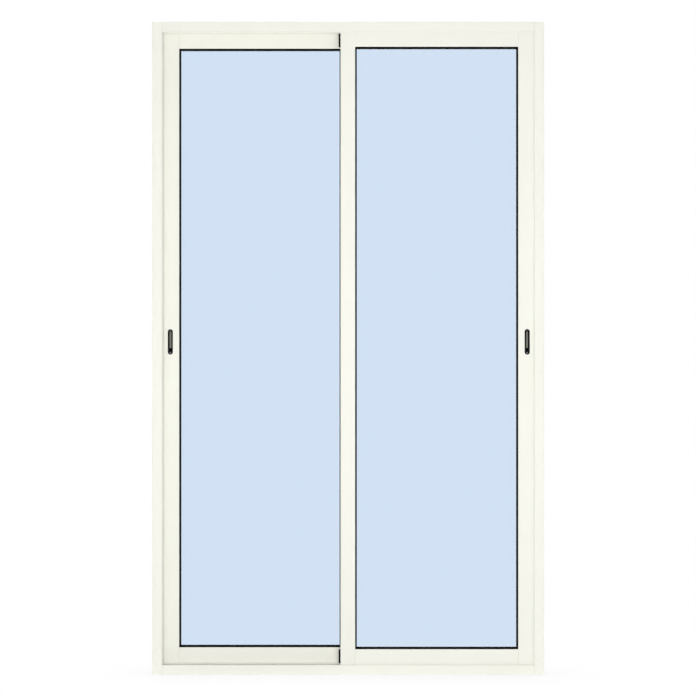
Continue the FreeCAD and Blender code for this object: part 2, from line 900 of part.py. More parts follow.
    def latch_trigger(self):
        """The grey finger bar in the recess."""
        body = self.latch_body_at("latch_trigger")
        sketch = new_sketch(body, "XZ_Plane", -size("trigger_depth"))
        draw_stadium(sketch, (ZERO, size("trigger_rise")), size("trigger_width"), size("trigger_length"))
        rest = size("recess_depth") - size("seat_gap")
        bar = add_pad(body, sketch, rest - size("trigger_depth"), backwards=True)
        edge_cut = limited(size("trigger_edge"), size("trigger_width"))
        cut_edges(body, bar, "Chamfer", edge_cut, self.on_face(-size("trigger_depth")))

    def latch_faceplate(self):
        """The plate in the stile's edge through which the hook comes out."""
        body = self.body("latch_faceplate")
        sketch = new_sketch(body, "YZ_Plane", sash_outer - size("sash_wall"))
        draw_slotted_plate(sketch, ZERO, "faceplate")
        add_pad(body, sketch, size("sash_wall"))


jamb("frame_right_jamb", RIGHT)
jamb("frame_left_jamb", LEFT)
head()
sill()
drain_covers()
track_rail("front_track_rail", -1)
track_rail("rear_track_rail", 1)
wind_block("wind_block_top", head_leg_edge, -1)
wind_block("wind_block_bottom", sill_leg_edge, 1)
keeper("right_keeper", RIGHT)
keeper("left_keeper", LEFT)
Leaf("right", RIGHT, 1).build()
Leaf("left", LEFT, -1).build()
document.recompute()

for thing in document.Objects:
    if "Invalid" in thing.State or "Error" in thing.State:
        raise RuntimeError(f"{thing.Label} failed: {thing.State}")
bodies = [thing for thing in document.Objects if thing.TypeId == "PartDesign::Body"]
for body in bodies:
    if body.Shape.isNull() or not body.Shape.isValid():
        raise RuntimeError(f"{body.Label} has no valid shape")
os.makedirs("parts", exist_ok=True)
for body in bodies:
    body.Shape.exportStep(f"parts/{body.Label}.step")
    print(body.Label, len(body.Shape.Solids), round(body.Shape.Volume))
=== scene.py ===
import math
import random

import bmesh
import bpy
from bpy.props import FloatProperty, FloatVectorProperty, PointerProperty
from mathutils import Matrix, Vector


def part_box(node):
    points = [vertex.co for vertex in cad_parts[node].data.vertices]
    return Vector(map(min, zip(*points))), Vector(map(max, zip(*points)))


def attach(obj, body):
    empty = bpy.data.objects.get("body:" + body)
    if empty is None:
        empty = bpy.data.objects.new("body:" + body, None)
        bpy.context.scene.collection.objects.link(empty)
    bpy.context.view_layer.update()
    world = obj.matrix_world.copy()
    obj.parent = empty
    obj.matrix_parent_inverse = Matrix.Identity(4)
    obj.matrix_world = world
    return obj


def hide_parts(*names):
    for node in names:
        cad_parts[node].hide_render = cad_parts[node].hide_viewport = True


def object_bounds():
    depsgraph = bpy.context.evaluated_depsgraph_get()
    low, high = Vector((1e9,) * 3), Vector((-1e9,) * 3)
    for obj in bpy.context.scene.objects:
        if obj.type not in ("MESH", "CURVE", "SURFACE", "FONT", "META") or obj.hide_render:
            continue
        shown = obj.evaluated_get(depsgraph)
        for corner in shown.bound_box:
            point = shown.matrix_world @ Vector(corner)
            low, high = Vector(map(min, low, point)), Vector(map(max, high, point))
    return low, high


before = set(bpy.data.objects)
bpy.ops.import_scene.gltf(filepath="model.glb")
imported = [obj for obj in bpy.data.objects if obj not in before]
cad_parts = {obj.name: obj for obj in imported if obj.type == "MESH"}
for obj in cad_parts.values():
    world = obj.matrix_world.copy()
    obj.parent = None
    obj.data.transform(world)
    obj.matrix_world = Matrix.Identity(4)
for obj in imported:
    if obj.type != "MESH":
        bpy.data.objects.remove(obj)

bl_info = {
    "name": "Sliding Patio Door",
    "version": (1, 0, 0),
    "blender": (4, 5, 0),
    "location": "View3D > Sidebar > Patio Door",
    "description": "Finishes, fasteners and brush seals for a two-leaf sliding patio door",
    "category": "Object",
}

CAD_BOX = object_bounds()
SIDES = ("left", "right")
MILLIMETRE = 0.001
WELD = 0.02 * MILLIMETRE
SMOOTH_ANGLE = math.radians(32)
RIGHT = Vector((1, 0, 0))
BACK = Vector((0, 1, 0))
UP = Vector((0, 0, 1))
TUFTS_TO_A_RUN = 24
# Material slot of a screw's recess, whose darkened zinc is painted shade
RECESS_SHADE_SLOT = 1
LATCH_SEED = 11
CORNER_SEED = 23
PILE_SEED = 37
STREAK = 0.004
ALONG_X = (STREAK, 1, 1)
ALONG_Z = (1, 1, STREAK)


def srgb(red, green, blue):
    """A colour read off a screen in steps of 255, as the linear colour that a shader takes."""
    steps = (red / 255, green / 255, blue / 255)
    return tuple(s / 12.92 if s <= 0.04045 else ((s + 0.055) / 1.055) ** 2.4 for s in steps)


def toned(colour, share):
    """A colour made darker or lighter, to a share of its light."""
    return tuple(share * channel for channel in colour)


def colour_property(name, description, default):
    """A colour that a user may change."""
    return FloatVectorProperty(
        name=name, description=description, default=default, subtype="COLOR", size=3, min=0, max=1
    )


def length_property(name, description, default):
    """A length that a user may change, in metres."""
    return FloatProperty(
        name=name, description=description, default=default, min=0, subtype="DISTANCE", unit="LENGTH"
    )


def place_property(name, description, default):
    """A place along an axis that a user may change, in metres, on either side of zero."""
    return FloatProperty(name=name, description=description, default=default, unit="LENGTH")


def share_property(name, description, default):
    """A share from 0 to 1 that a user may change."""
    return FloatProperty(
        name=name, description=description, default=default, min=0, max=1, subtype="FACTOR"
    )


def power_property(name, description, default):
    """A lamp's power that a user may change, in watts."""
    return FloatProperty(name=name, description=description, default=default, min=0, unit="POWER")


class DoorColours(bpy.types.PropertyGroup):
    """The colours of the door's finishes"""

    lacquer: colour_property("Lacquer", "Warm white of the aluminium profiles", srgb(246, 246, 237))
    lacquer_shade: colour_property("Lacquer shade", "Thinner lacquer", srgb(243, 243, 232))
    grime: colour_property("Joint", "Hairlines where profiles butt", srgb(150, 148, 136))
    glass: colour_property("Glass", "Tint of one pane", srgb(231, 240, 250))
    rubber: colour_property("Rubber", "Glazing gaskets", srgb(10, 10, 11))
    black: colour_property("Black", "Latch lacquer and wind blocks", srgb(6, 6, 6))
    trigger: colour_property("Trigger", "Grey finger bar of the latch", srgb(136, 138, 127))
    pile: colour_property("Pile", "Brush seals", srgb(168, 168, 165))
    aluminium: colour_property("Aluminium", "Bare track rails", srgb(205, 206, 208))
    zinc: colour_property("Zinc", "Plated roller housings and screws", srgb(186, 188, 190))
    stainless: colour_property("Stainless", "Keepers and faceplates", srgb(196, 196, 196))
    nylon: colour_property("Nylon", "Roller wheels", srgb(232, 231, 222))
    plastic: colour_property("White plastic", "Drain covers", srgb(240, 240, 231))
    spacer: colour_property("Spacer", "Bar between the panes", srgb(150, 152, 154))


class DoorSizes(bpy.types.PropertyGroup):
    """The sizes of the fasteners and seals"""

    screw_radius: length_property("Screw radius", "Heads in plates and corners", 3.1 * MILLIMETRE)
    screw_height: length_property("Screw height", "Heads in plates and corners", 1.2 * MILLIMETRE)
    latch_screw_radius: length_property("Latch screw radius", "Head under the trigger", 2.7 * MILLIMETRE)
    latch_screw_height: length_property("Latch screw height", "Head under the trigger", 0.8 * MILLIMETRE)
    latch_screw_rise: length_property("Latch screw rise", "From the latch's lower end", 5.4 * MILLIMETRE)
    plate_inset: length_property("Plate screw inset", "From a plate's end to its screw", 10 * MILLIMETRE)
    tuft_pitch: length_property("Tuft pitch", "From one tuft of pile to the next", 1.4 * MILLIMETRE)
    tuft_radius: length_property("Tuft radius", "At the foot of a tuft", 0.7 * MILLIMETRE)
    pile_backing: length_property("Pile backing", "Thickness of the woven backing", 0.9 * MILLIMETRE)


class StageSettings(bpy.types.PropertyGroup):
    """The camera's place and the studio's light"""

    camera_distance: length_property("Camera distance", "From the door's middle plane", 6.54)
    view_width: length_property("View width", "Picture's width at the door's room face", 2.132)
    aim_across: place_property("Aim across", "Where the picture's middle lies along the sill", -0.0005)
    aim_height: place_property("Aim height", "Where the picture's middle lies above the sill", 1.0012)
    ambient: share_property("Ambient", "Strength of the even light", 0.3)
    mirrored: share_property("Mirrored", "Horizon and floor as metal and glass mirror them", 0.7)
    shadow_reach: length_property("Shadow reach", "How far the door shades the floor round it", 0.25)
    shadow_depth: share_property("Shadow depth", "Light that the floor lacks beside the door", 0.12)
    front_power: power_property("Front", "Lamp in front of the door", 104)
    key_power: power_property("Key", "Lamp right of the camera", 43)
    fill_power: power_property("Fill", "Lamp left of the camera", 17)
    top_power: power_property("Top", "Lamp above the door", 16)
    rear_power: power_property("Rear", "Each of the two lamps behind the door", 150)


class Value:
    """A number in a node tree, on which Python's own operators add Math nodes."""

    def __init__(self, tree, socket):
        self.tree = tree
        self.socket = socket

    def combine(self, operation, *terms):
        """The result of a Math node on some terms."""
        node = self.tree.node("ShaderNodeMath", {"operation": operation}, dict(enumerate(terms)))
        return Value(self.tree, node.outputs[0])

    def __add__(self, other):
        return self.combine("ADD", self, other)

    def __radd__(self, other):
        return self.combine("ADD", other, self)

    def __sub__(self, other):
        return self.combine("SUBTRACT", self, other)

    def __rsub__(self, other):
        return self.combine("SUBTRACT", other, self)

    def __mul__(self, other):
        return self.combine("MULTIPLY", self, other)

    def __rmul__(self, other):
        return self.combine("MULTIPLY", other, self)

    def __abs__(self):
        return self.combine("ABSOLUTE", self)

    def __lt__(self, other):
        return self.combine("LESS_THAN", self, other)

    def __gt__(self, other):
        return self.combine("GREATER_THAN", self, other)

    def __or__(self, other):
        return self.combine("MAXIMUM", self, other)


class NodeTree:
    """A node tree under construction, cleared first."""

    def __init__(self, owner):
        owner.use_nodes = True
        self.tree = owner.node_tree
        self.tree.nodes.clear()

    def feed(self, socket, value):
        """Links a value to a socket, or sets it there."""
        if isinstance(value, Value):
            self.tree.links.new(value.socket, socket)
        elif isinstance(value, bpy.types.NodeSocket):
            self.tree.links.new(value, socket)
        elif socket.type == "RGBA":
            socket.default_value = (*value, 1)
        else:
            socket.default_value = value

    def node(self, kind, settings=None, inputs=None):
        """A new node: its settings first, then the values or links of its sockets."""
        made = self.tree.nodes.new(kind)
        for key, setting in (settings or {}).items():
            setattr(made, key, setting)
        for key, value in (inputs or {}).items():
            self.feed(made.inputs[key], value)
        return made

    def blend(self, first, second, share):
        """One shader turned into another by a share."""
        inputs = {0: share, 1: first.outputs[0], 2: second.outputs[0]}
        return self.node("ShaderNodeMixShader", inputs=inputs)

    def rays(self, *kinds):
        """For each kind of ray, 1 where the light path is of that kind and 0 elsewhere."""
        path = self.node("ShaderNodeLightPath")
        return [Value(self, path.outputs[f"Is {kind} Ray"]) for kind in kinds]


class Finish(NodeTree):
    """A material of one principled shader, whose fixed sockets are set at once."""

    MIX_COLOURS = {"first": 6, "second": 7, "result": 2}

    def __init__(self, name, fixed):
        self.material = bpy.data.materials.new(name)
        super().__init__(self.material)
        self.shader = self.node("ShaderNodeBsdfPrincipled", inputs=fixed)
        self.node("ShaderNodeOutputMaterial", inputs={"Surface": self.shader.outputs[0]})
        self.place = self.node("ShaderNodeTexCoord").outputs["Object"]

    def axes(self):
        """The three coordinates of a point on the piece, in metres."""
        split = self.node("ShaderNodeSeparateXYZ", inputs={0: self.place})
        return [Value(self, socket) for socket in split.outputs]

    def noise(self, per_metre, detail=2, stretch=(1, 1, 1)):
        """Cloudy values from 0 to 1, with some count of clouds to a metre along each axis."""
        scale = tuple(per_metre * s for s in stretch)
        spread = self.node("ShaderNodeMapping", inputs={"Vector": self.place, "Scale": scale})
        inputs = {"Vector": spread.outputs[0], "Scale": 1, "Detail": detail}
        return Value(self, self.node("ShaderNodeTexNoise", inputs=inputs).outputs[0])

    def cells(self, per_metre):
        """The distance from the middle of the nearest of many scattered cells."""
        inputs = {"Vector": self.place, "Scale": per_metre}
        cells = self.node("ShaderNodeTexVoronoi", {"feature": "F1"}, inputs)
        return Value(self, cells.outputs["Distance"])

    def mix(self, first, second, share):
        """One colour turned into another by a share."""
        inputs = {0: share, self.MIX_COLOURS["first"]: first, self.MIX_COLOURS["second"]: second}
        node = self.node("ShaderNodeMix", {"data_type": "RGBA"}, inputs)
        return node.outputs[self.MIX_COLOURS["result"]]

    def set(self, socket, value):
        """Sets one of the shader's sockets, or links a value to it."""
        self.feed(self.shader.inputs[socket], value)

    def bump(self, height, depth):
        """Raises the surface by a height from 0 to 1, over a depth in metres."""
        inputs = {"Strength": 1, "Distance": depth, "Height": height}
        self.set("Normal", self.node("ShaderNodeBump", inputs=inputs).outputs[0])


def lacquer(name, colours, along, joint_places):
    """Warm white lacquer on an extrusion: orange peel, die lines and hairlines at its butt joints."""
    half_hairline = 0.25 * MILLIMETRE
    grime_share = 0.4
    finish = Finish(name, {"IOR": 1.5, "Specular IOR Level": 0.4})
    cloud = finish.noise(per_metre=5, detail=3)
    peel = finish.noise(per_metre=700)
    die_lines = finish.noise(per_metre=260, stretch=along)
    across = abs(finish.axes()[0])
    tone = finish.mix(colours.lacquer_shade, colours.lacquer, cloud)
    for place in joint_places:
        hairline = abs(across - place) < half_hairline
        tone = finish.mix(tone, colours.grime, grime_share * hairline)
    finish.set("Base Color", tone)
    finish.set("Roughness", 0.36 + 0.1 * cloud + 0.05 * peel)
    finish.bump(0.7 * peel + 0.3 * die_lines, depth=0.05 * MILLIMETRE)
    return finish.material


def glass(colours):
    """Float glass with a faint draw wave and a breath of dust."""
    finish = Finish("clear_glass", {"IOR": 1.5, "Transmission Weight": 1})
    finish.set("Base Color", colours.glass)
    wave = finish.noise(per_metre=1.6, detail=1, stretch=(1, 1, 0.3))
    dust = finish.noise(per_metre=120, detail=3)
    finish.set("Roughness", 0.012 * dust)
    finish.bump(wave, depth=0.02 * MILLIMETRE)
    return finish.material


def rubber(colours, middle, half):
    """Matt black rubber, cut to a mitre at each corner of the glass.

    The middle and the half size are those of the right leaf's gasket, which the left leaf mirrors.
    """
    half_cut = 0.15 * MILLIMETRE
    finish = Finish("black_rubber", {"IOR": 1.5, "Specular IOR Level": 0.1})
    x, _, z = finish.axes()
    inset_x = half.x - abs(abs(x) - middle.x)
    inset_z = half.z - abs(z - middle.z)
    mitre = abs(inset_x - inset_z) < half_cut
    grain = finish.noise(per_metre=1500)
    chalk = finish.noise(per_metre=30, detail=4)
    tone = finish.mix(colours.rubber, toned(colours.rubber, 1.9), 0.5 * chalk)
    finish.set("Base Color", finish.mix(tone, (0, 0, 0), mitre))
    finish.set("Roughness", 0.55 + 0.2 * chalk)
    finish.bump(grain - 2 * mitre, depth=0.02 * MILLIMETRE)
    return finish.material


def moulded(name, colour, roughness, grain_depth, specular=0.4):
    """Moulded plastic with an eroded grain and slow changes of gloss."""
    finish = Finish(name, {"IOR": 1.47, "Specular IOR Level": specular})
    cloud = finish.noise(per_metre=18, detail=3)
    grain = finish.noise(per_metre=2200, detail=1)
    finish.set("Base Color", finish.mix(toned(colour, 0.9), colour, cloud))
    finish.set("Roughness", roughness + 0.12 * cloud)
    finish.bump(grain, grain_depth)
    return finish.material


def black_lacquer(colours):
    """Satin black lacquer over die-cast metal, with a little handling polish."""
    finish = Finish("black_lacquer", {"IOR": 1.5, "Specular IOR Level": 0.08, "Coat Roughness": 0.3})
    peel = finish.noise(per_metre=900)
    polish = finish.noise(per_metre=60, detail=4)
    finish.set("Base Color", finish.mix(colours.black, toned(colours.black, 1.6), polish))
    finish.set("Roughness", 0.5 - 0.16 * polish)
    finish.set("Coat Weight", 0.06 * polish)
    finish.bump(peel, depth=0.05 * MILLIMETRE)
    return finish.material


def brushed(name, colour, along, roughness):
    """Metal with fine lines along one axis."""
    finish = Finish(name, {"Metallic": 1})
    lines = finish.noise(per_metre=1800, detail=3, stretch=along)
    cloud = finish.noise(per_metre=14, detail=3)
    finish.set("Base Color", finish.mix(toned(colour, 0.8), colour, 0.6 * lines + 0.4 * cloud))
    finish.set("Roughness", roughness + 0.16 * lines)
    finish.bump(lines, depth=0.03 * MILLIMETRE)
    return finish.material


def track_metal(colours, top):
    """Mill-finish aluminium with a bright line where the wheels have run."""
    worn_depth = 1.2 * MILLIMETRE
    finish = Finish("bare_aluminium", {"Metallic": 1})
    _, _, z = finish.axes()
    lines = finish.noise(per_metre=900, detail=3, stretch=ALONG_X)
    dull = finish.noise(per_metre=9, detail=4)
    worn = z > top - worn_depth
    tone = finish.mix(colours.aluminium, toned(colours.aluminium, 0.78), dull)
    finish.set("Base Color", finish.mix(tone, colours.aluminium, worn))
    finish.set("Roughness", 0.42 + 0.14 * dull - 0.2 * worn)
    finish.bump(lines, depth=0.04 * MILLIMETRE)
    return finish.material


def zinc_plate(name, colour):
    """Zinc plating with its dull crystals."""
    finish = Finish(name, {"Metallic": 1})
    crystal = finish.cells(per_metre=160)
    dull = finish.noise(per_metre=40, detail=3)
    finish.set("Base Color", finish.mix(toned(colour, 0.72), colour, 0.5 * crystal + 0.5 * dull))
    finish.set("Roughness", 0.3 + 0.2 * dull)
    finish.bump(dull, depth=0.03 * MILLIMETRE)
    return finish.material


def screw_metal_and_recess_shade(colours):
    """A screw's bright head and the metal of its recess, darkened as painted shade, which all screws
    share.
    """
    # The recess tone is zinc darkened to a painted shade inside the cross recess
    tones = {"screw_zinc": colours.zinc, "screw_recess": toned(colours.zinc, 0.12)}
    return [bpy.data.materials.get(name) or zinc_plate(name, tone) for name, tone in tones.items()]


def pile_weave(colours):
    """Grey polypropylene pile."""
    finish = Finish("grey_pile", {"Sheen Weight": 0.3, "Sheen Roughness": 0.5})
    strand = finish.noise(per_metre=900)
    cloud = finish.noise(per_metre=25, detail=3)
    share = 0.6 * strand + 0.4 * cloud
    finish.set("Base Color", finish.mix(toned(colours.pile, 0.55), colours.pile, share))
    finish.set("Roughness", 0.8 + 0.15 * strand)
    finish.bump(strand, depth=0.2 * MILLIMETRE)
    return finish.material


def spacer_bar(colours):
    """Grey warm-edge bar with scattered vents, darkened as painted shade inside them."""
    vent_size = 0.12
    finish = Finish("spacer_composite", {})
    vent = finish.cells(per_metre=180) < vent_size
    dull = finish.noise(per_metre=50, detail=3)
    # The vents' darker grey is painted shade inside the holes
    finish.set("Base Color", finish.mix(colours.spacer, toned(colours.spacer, 0.3), vent))
    finish.set("Roughness", 0.5 + 0.15 * dull)
    finish.bump(dull - vent, depth=0.1 * MILLIMETRE)
    return finish.material


def coat(material, *names):
    """Gives CAD nodes their finish."""
    for name in names:
        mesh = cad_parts[name].data
        mesh.materials.clear()
        mesh.materials.append(material)


def of_leaves(*pieces):
    """The nodes of both leaves for some pieces."""
    return [f"{side}_{piece}" for side in SIDES for piece in pieces]


def middle_of(node):
    """The middle of a CAD node's box."""
    low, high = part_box(node)
    return (low + high) / 2


def finish_piece(name, shape, materials, body):
    """A modelled piece in its place, riding on a body of the door."""
    mesh = bpy.data.meshes.new(name)
    shape.to_mesh(mesh)
    shape.free()
    mesh.shade_smooth()
    mesh.set_sharp_from_angle(angle=SMOOTH_ANGLE)
    for material in materials:
        mesh.materials.append(material)
    piece = bpy.data.objects.new(name, mesh)
    bpy.context.scene.collection.objects.link(piece)
    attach(piece, body)
    return piece


def join(shape, part):
    """Adds one bmesh to another and frees it."""
    mesh = bpy.data.meshes.new("join")
    part.to_mesh(mesh)
    part.free()
    shape.from_mesh(mesh)
    bpy.data.meshes.remove(mesh)


def turn_to(direction, place, twist=0):
    """The matrix that stands an upright shape on a place, facing a direction."""
    lean = UP.rotation_difference(direction).to_matrix().to_4x4()
    return Matrix.Translation(place) @ lean @ Matrix.Rotation(twist, 4, "Z")


def sort_faces(shape):
    """Puts a bmesh's faces in the order of their middles, because a bisection's own order varies."""
    digits = 7
    middles = {f: [round(c, digits) for c in f.calc_center_median()] for f in shape.faces}
    for i, face in enumerate(sorted(middles, key=middles.get)):
        face.index = i
    shape.faces.sort()


def add_screw(shape, place, direction, radius, height, draw):
    """A pan-head screw with a cross recess, sitting on a surface and turned by chance."""
    twist = draw.uniform(0, math.pi)
    sides = 28
    top_radius = 0.92 * radius
    rounding = 0.4 * height
    arm_width, arm_length = 0.17 * radius, 0.6 * radius
    recess_depth = 0.7 * height
    facing_up = 0.9
    head = bmesh.new()
    bmesh.ops.create_cone(
        head, cap_ends=True, segments=sides, radius1=radius, radius2=top_radius, depth=height
    )
    bmesh.ops.translate(head, verts=head.verts, vec=UP * (height / 2))
    near_top = height - WELD
    rim = [e for e in head.edges if all(v.co.z > near_top for v in e.verts)]
    bmesh.ops.bevel(
        head, geom=rim, offset=rounding, segments=3, profile=0.5, affect="EDGES", material=-1
    )
    for axis in (RIGHT, BACK):
        for cut in (-arm_length, -arm_width, arm_width, arm_length):
            geometry = head.verts[:] + head.edges[:] + head.faces[:]
            bmesh.ops.bisect_plane(head, geom=geometry, dist=WELD, plane_co=axis * cut, plane_no=axis)
    arms = []
    for face in head.faces:
        middle = face.calc_center_median()
        short, long = sorted((abs(middle.x), abs(middle.y)))
        if face.normal.z > facing_up and short < arm_width and long < arm_length:
            arms.append(face)
    sunk = bmesh.ops.extrude_face_region(head, geom=arms)
    bmesh.ops.delete(head, geom=arms, context="FACES")
    floor = [v for v in sunk["geom"] if isinstance(v, bmesh.types.BMVert)]
    bmesh.ops.translate(head, verts=floor, vec=UP * -recess_depth)
    # The recess's floor and walls take the darkened zinc, a painted shade inside the cross recess
    for face in {f for v in floor for f in v.link_faces}:
        face.material_index = RECESS_SHADE_SLOT
    bmesh.ops.recalc_face_normals(head, faces=head.faces)
    sort_faces(head)
    bmesh.ops.transform(head, matrix=turn_to(direction, place, twist), verts=head.verts)
    join(shape, head)


def solids_of(node):
    """The boxes of the separate solids in a CAD node, in the order of their lowest corners."""
    shape = bmesh.new()
    shape.from_mesh(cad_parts[node].data)
    bmesh.ops.remove_doubles(shape, verts=shape.verts, dist=WELD)
    boxes = []
    waiting = set(shape.verts)
    while waiting:
        reached = [waiting.pop()]
        for vertex in reached:
            for edge in vertex.link_edges:
                other = edge.other_vert(vertex)
                if other in waiting:
                    waiting.remove(other)
                    reached.append(other)
        low = Vector(min(v.co[i] for v in reached) for i in range(3))
        high = Vector(max(v.co[i] for v in reached) for i in range(3))
        boxes.append((low, high))
    shape.free()
    return sorted(boxes, key=lambda box: tuple(box[0]))


def pile_run(sizes, width, height, draw):
    """The mesh of a short run of pile along X: two rows of leaning tufts on a foot at zero height."""
    rows = (0.28 * width, 0.72 * width)
    sides = 4
    pitch, radius = sizes.tuft_pitch, sizes.tuft_radius
    tip_radius = 0.35 * radius
    stagger = 0.2
    lean_along, lean_across = 0.4 * pitch, 0.1 * width
    shortest, longest = 0.84 * height, 0.98 * height
    shape = bmesh.new()
    for row in rows:
        for i in range(TUFTS_TO_A_RUN):
            foot = Vector(((i + 0.5 + draw.uniform(-stagger, stagger)) * pitch, row, 0))
            lean = (draw.uniform(-lean_along, lean_along), draw.uniform(-lean_across, lean_across))
            stem = Vector((*lean, draw.uniform(shortest, longest)))
            bmesh.ops.create_cone(
                shape, cap_ends=True, segments=sides, radius1=radius, radius2=tip_radius,
                depth=stem.length, matrix=turn_to(stem.normalized(), foot + stem / 2),
            )
    mesh = bpy.data.meshes.new("pile_run")
    shape.to_mesh(mesh)
    shape.free()
    return mesh


def repeat(mesh, step, count):
    """A mesh set out in a row along X, as a new mesh."""
    holder = bpy.data.objects.new("row", mesh)
    bpy.context.scene.collection.objects.link(holder)
    row = holder.modifiers.new("row", "ARRAY")
    row.count = count
    row.use_relative_offset = False
    row.use_constant_offset = True
    row.constant_offset_displace = (step, 0, 0)
    depsgraph = bpy.context.evaluated_depsgraph_get()
    made = bpy.data.meshes.new_from_object(holder.evaluated_get(depsgraph))
    bpy.data.objects.remove(holder)
    return made


def add_brush(shape, low, high, facing, sizes, run):
    """A strip of pile in a box: a woven backing, packed fibres, and tufts that face one way along Y."""
    span = high - low
    upright = span.z > span.x
    along, across = (UP, RIGHT) if upright else (RIGHT, UP)
    narrow_axis = 0 if upright else 2
    foot = low.y if facing > 0 else high.y
    packed_height, packed_width = 0.62 * span.y, 0.74
    for thickness, width in ((sizes.pile_backing, 1), (packed_height, packed_width)):
        layer = bmesh.new()
        bmesh.ops.create_cube(layer, size=1)
        size = Vector((span.x, thickness, span.z))
        size[narrow_axis] *= width
        middle = (low + high) / 2
        middle.y = foot + facing * thickness / 2
        bmesh.ops.scale(layer, verts=layer.verts, vec=size)
        bmesh.ops.translate(layer, verts=layer.verts, vec=middle)
        join(shape, layer)
    step = TUFTS_TO_A_RUN * sizes.tuft_pitch
    row = repeat(run, step, int(max(span.x, span.z) / step))
    turn = Matrix((along, across, facing * BACK)).transposed().to_4x4()
    row.transform(Matrix.Translation((low.x, foot + facing * sizes.pile_backing, low.z)) @ turn)
    shape.from_mesh(row)
    bpy.data.meshes.remove(row)


class DOOR_OT_profiles(bpy.types.Operator):
    """Lacquers the frame and the leaves' profiles"""

    bl_idname = "door.profiles"
    bl_label = "Lacquered profiles"

    def execute(self, context):
        colours = context.scene.door_colours
        leg_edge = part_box("frame_right_jamb")[0].x
        rail_low, rail_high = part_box("right_top_rail")
        upright = lacquer("white_lacquer_upright", colours, ALONG_Z, ())
        level = lacquer("white_lacquer_level", colours, ALONG_X, (leg_edge,))
        rail = lacquer("white_lacquer_rail", colours, ALONG_X, (rail_low.x, rail_high.x))
        coat(upright, "frame_left_jamb", "frame_right_jamb")
        coat(upright, *of_leaves("lock_stile", "meeting_stile", "interlock"))
        coat(level, "frame_head", "frame_sill")
        coat(rail, *of_leaves("top_rail", "bottom_rail"))
        return {"FINISHED"}


class DOOR_OT_glazing(bpy.types.Operator):
    """Finishes the panes, their spacers and their gaskets"""

    bl_idname = "door.glazing"
    bl_label = "Glazing"

    def execute(self, context):
        colours = context.scene.door_colours
        low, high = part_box("right_room_gasket")
        gasket = rubber(colours, (low + high) / 2, (high - low) / 2)
        coat(glass(colours), *of_leaves("room_pane", "outer_pane"))
        coat(gasket, *of_leaves("room_gasket", "outer_gasket"))
        coat(spacer_bar(colours), *of_leaves("spacer"))
        return {"FINISHED"}


class DOOR_OT_running_gear(bpy.types.Operator):
    """Finishes the tracks, rollers, drain covers and wind blocks"""

    bl_idname = "door.running_gear"
    bl_label = "Running gear"

    def execute(self, context):
        colours = context.scene.door_colours
        track_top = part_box("front_track_rail")[1].z
        nylon = moulded("white_nylon", colours.nylon, roughness=0.35, grain_depth=0.01 * MILLIMETRE)
        covers = moulded("white_plastic", colours.plastic, roughness=0.4, grain_depth=0.03 * MILLIMETRE)
        blocks = moulded(
            "black_plastic", colours.black, roughness=0.5, grain_depth=0.05 * MILLIMETRE, specular=0.06
        )
        coat(track_metal(colours, track_top), "front_track_rail", "rear_track_rail")
        coat(zinc_plate("zinc_steel", colours.zinc), *of_leaves("roller_housings"))
        coat(nylon, *of_leaves("roller_wheels"))
        coat(covers, "drain_covers")
        coat(blocks, "wind_block_top", "wind_block_bottom")
        return {"FINISHED"}


class DOOR_OT_latches(bpy.types.Operator):
    """Finishes the latches and their plates and adds their screws"""

    bl_idname = "door.latches"
    bl_label = "Latches"

    def execute(self, context):
        colours = context.scene.door_colours
        sizes = context.scene.door_sizes
        draw = random.Random(LATCH_SEED)
        plate = brushed("stainless_plate", colours.stainless, ALONG_Z, roughness=0.25)
        bar = moulded("grey_plastic", colours.trigger, roughness=0.42, grain_depth=0.03 * MILLIMETRE)
        steel = screw_metal_and_recess_shade(colours)
        coat(black_lacquer(colours), *of_leaves("latch_body"))
        coat(bar, *of_leaves("latch_trigger"))
        coat(plate, *of_leaves("keeper", "latch_faceplate"))
        for side in SIDES:
            outward = 1 if side == "right" else -1
            low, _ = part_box(f"{side}_latch_body")
            across = middle_of(f"{side}_latch_trigger").x
            place = Vector((across, low.y, low.z + sizes.latch_screw_rise))
            screw = bmesh.new()
            add_screw(screw, place, -BACK, sizes.latch_screw_radius, sizes.latch_screw_height, draw)
            finish_piece(f"{side}_latch_screw", screw, steel, f"{side}_sash")
            self.plate_screws(f"{side}_latch_faceplate", outward, f"{side}_sash", steel, sizes, draw)
            self.plate_screws(f"{side}_keeper", -outward, "frame", steel, sizes, draw)
        return {"FINISHED"}

    def plate_screws(self, node, facing, body, steel, sizes, draw):
        """Two screws near the ends of an upright plate that faces along X."""
        low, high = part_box(node)
        face = high.x if facing > 0 else low.x
        depth = middle_of(node).y
        shape = bmesh.new()
        for height in (low.z + sizes.plate_inset, high.z - sizes.plate_inset):
            place = Vector((face, depth, height))
            add_screw(shape, place, facing * RIGHT, sizes.screw_radius, sizes.screw_height, draw)
        finish_piece(f"{node}_screws", shape, steel, body)


class DOOR_OT_corner_screws(bpy.types.Operator):
    """Adds the screws that hold each leaf's stiles to its rails"""

    bl_idname = "door.corner_screws"
    bl_label = "Corner screws"

    def execute(self, context):
        sizes = context.scene.door_sizes
        draw = random.Random(CORNER_SEED)
        radius, height = sizes.screw_radius, sizes.screw_height
        steel = screw_metal_and_recess_shade(context.scene.door_colours)
        for side in SIDES:
            shape = bmesh.new()
            for stile in ("lock_stile", "meeting_stile"):
                low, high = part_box(f"{side}_{stile}")
                facing = 1 if low.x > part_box(f"{side}_top_rail")[0].x else -1
                face = high.x if facing > 0 else low.x
                depth = middle_of(f"{side}_{stile}").y
                for rail in ("top_rail", "bottom_rail"):
                    place = Vector((face, depth, middle_of(f"{side}_{rail}").z))
                    add_screw(shape, place, facing * RIGHT, radius, height, draw)
            finish_piece(f"{side}_corner_screws", shape, steel, f"{side}_sash")
        return {"FINISHED"}


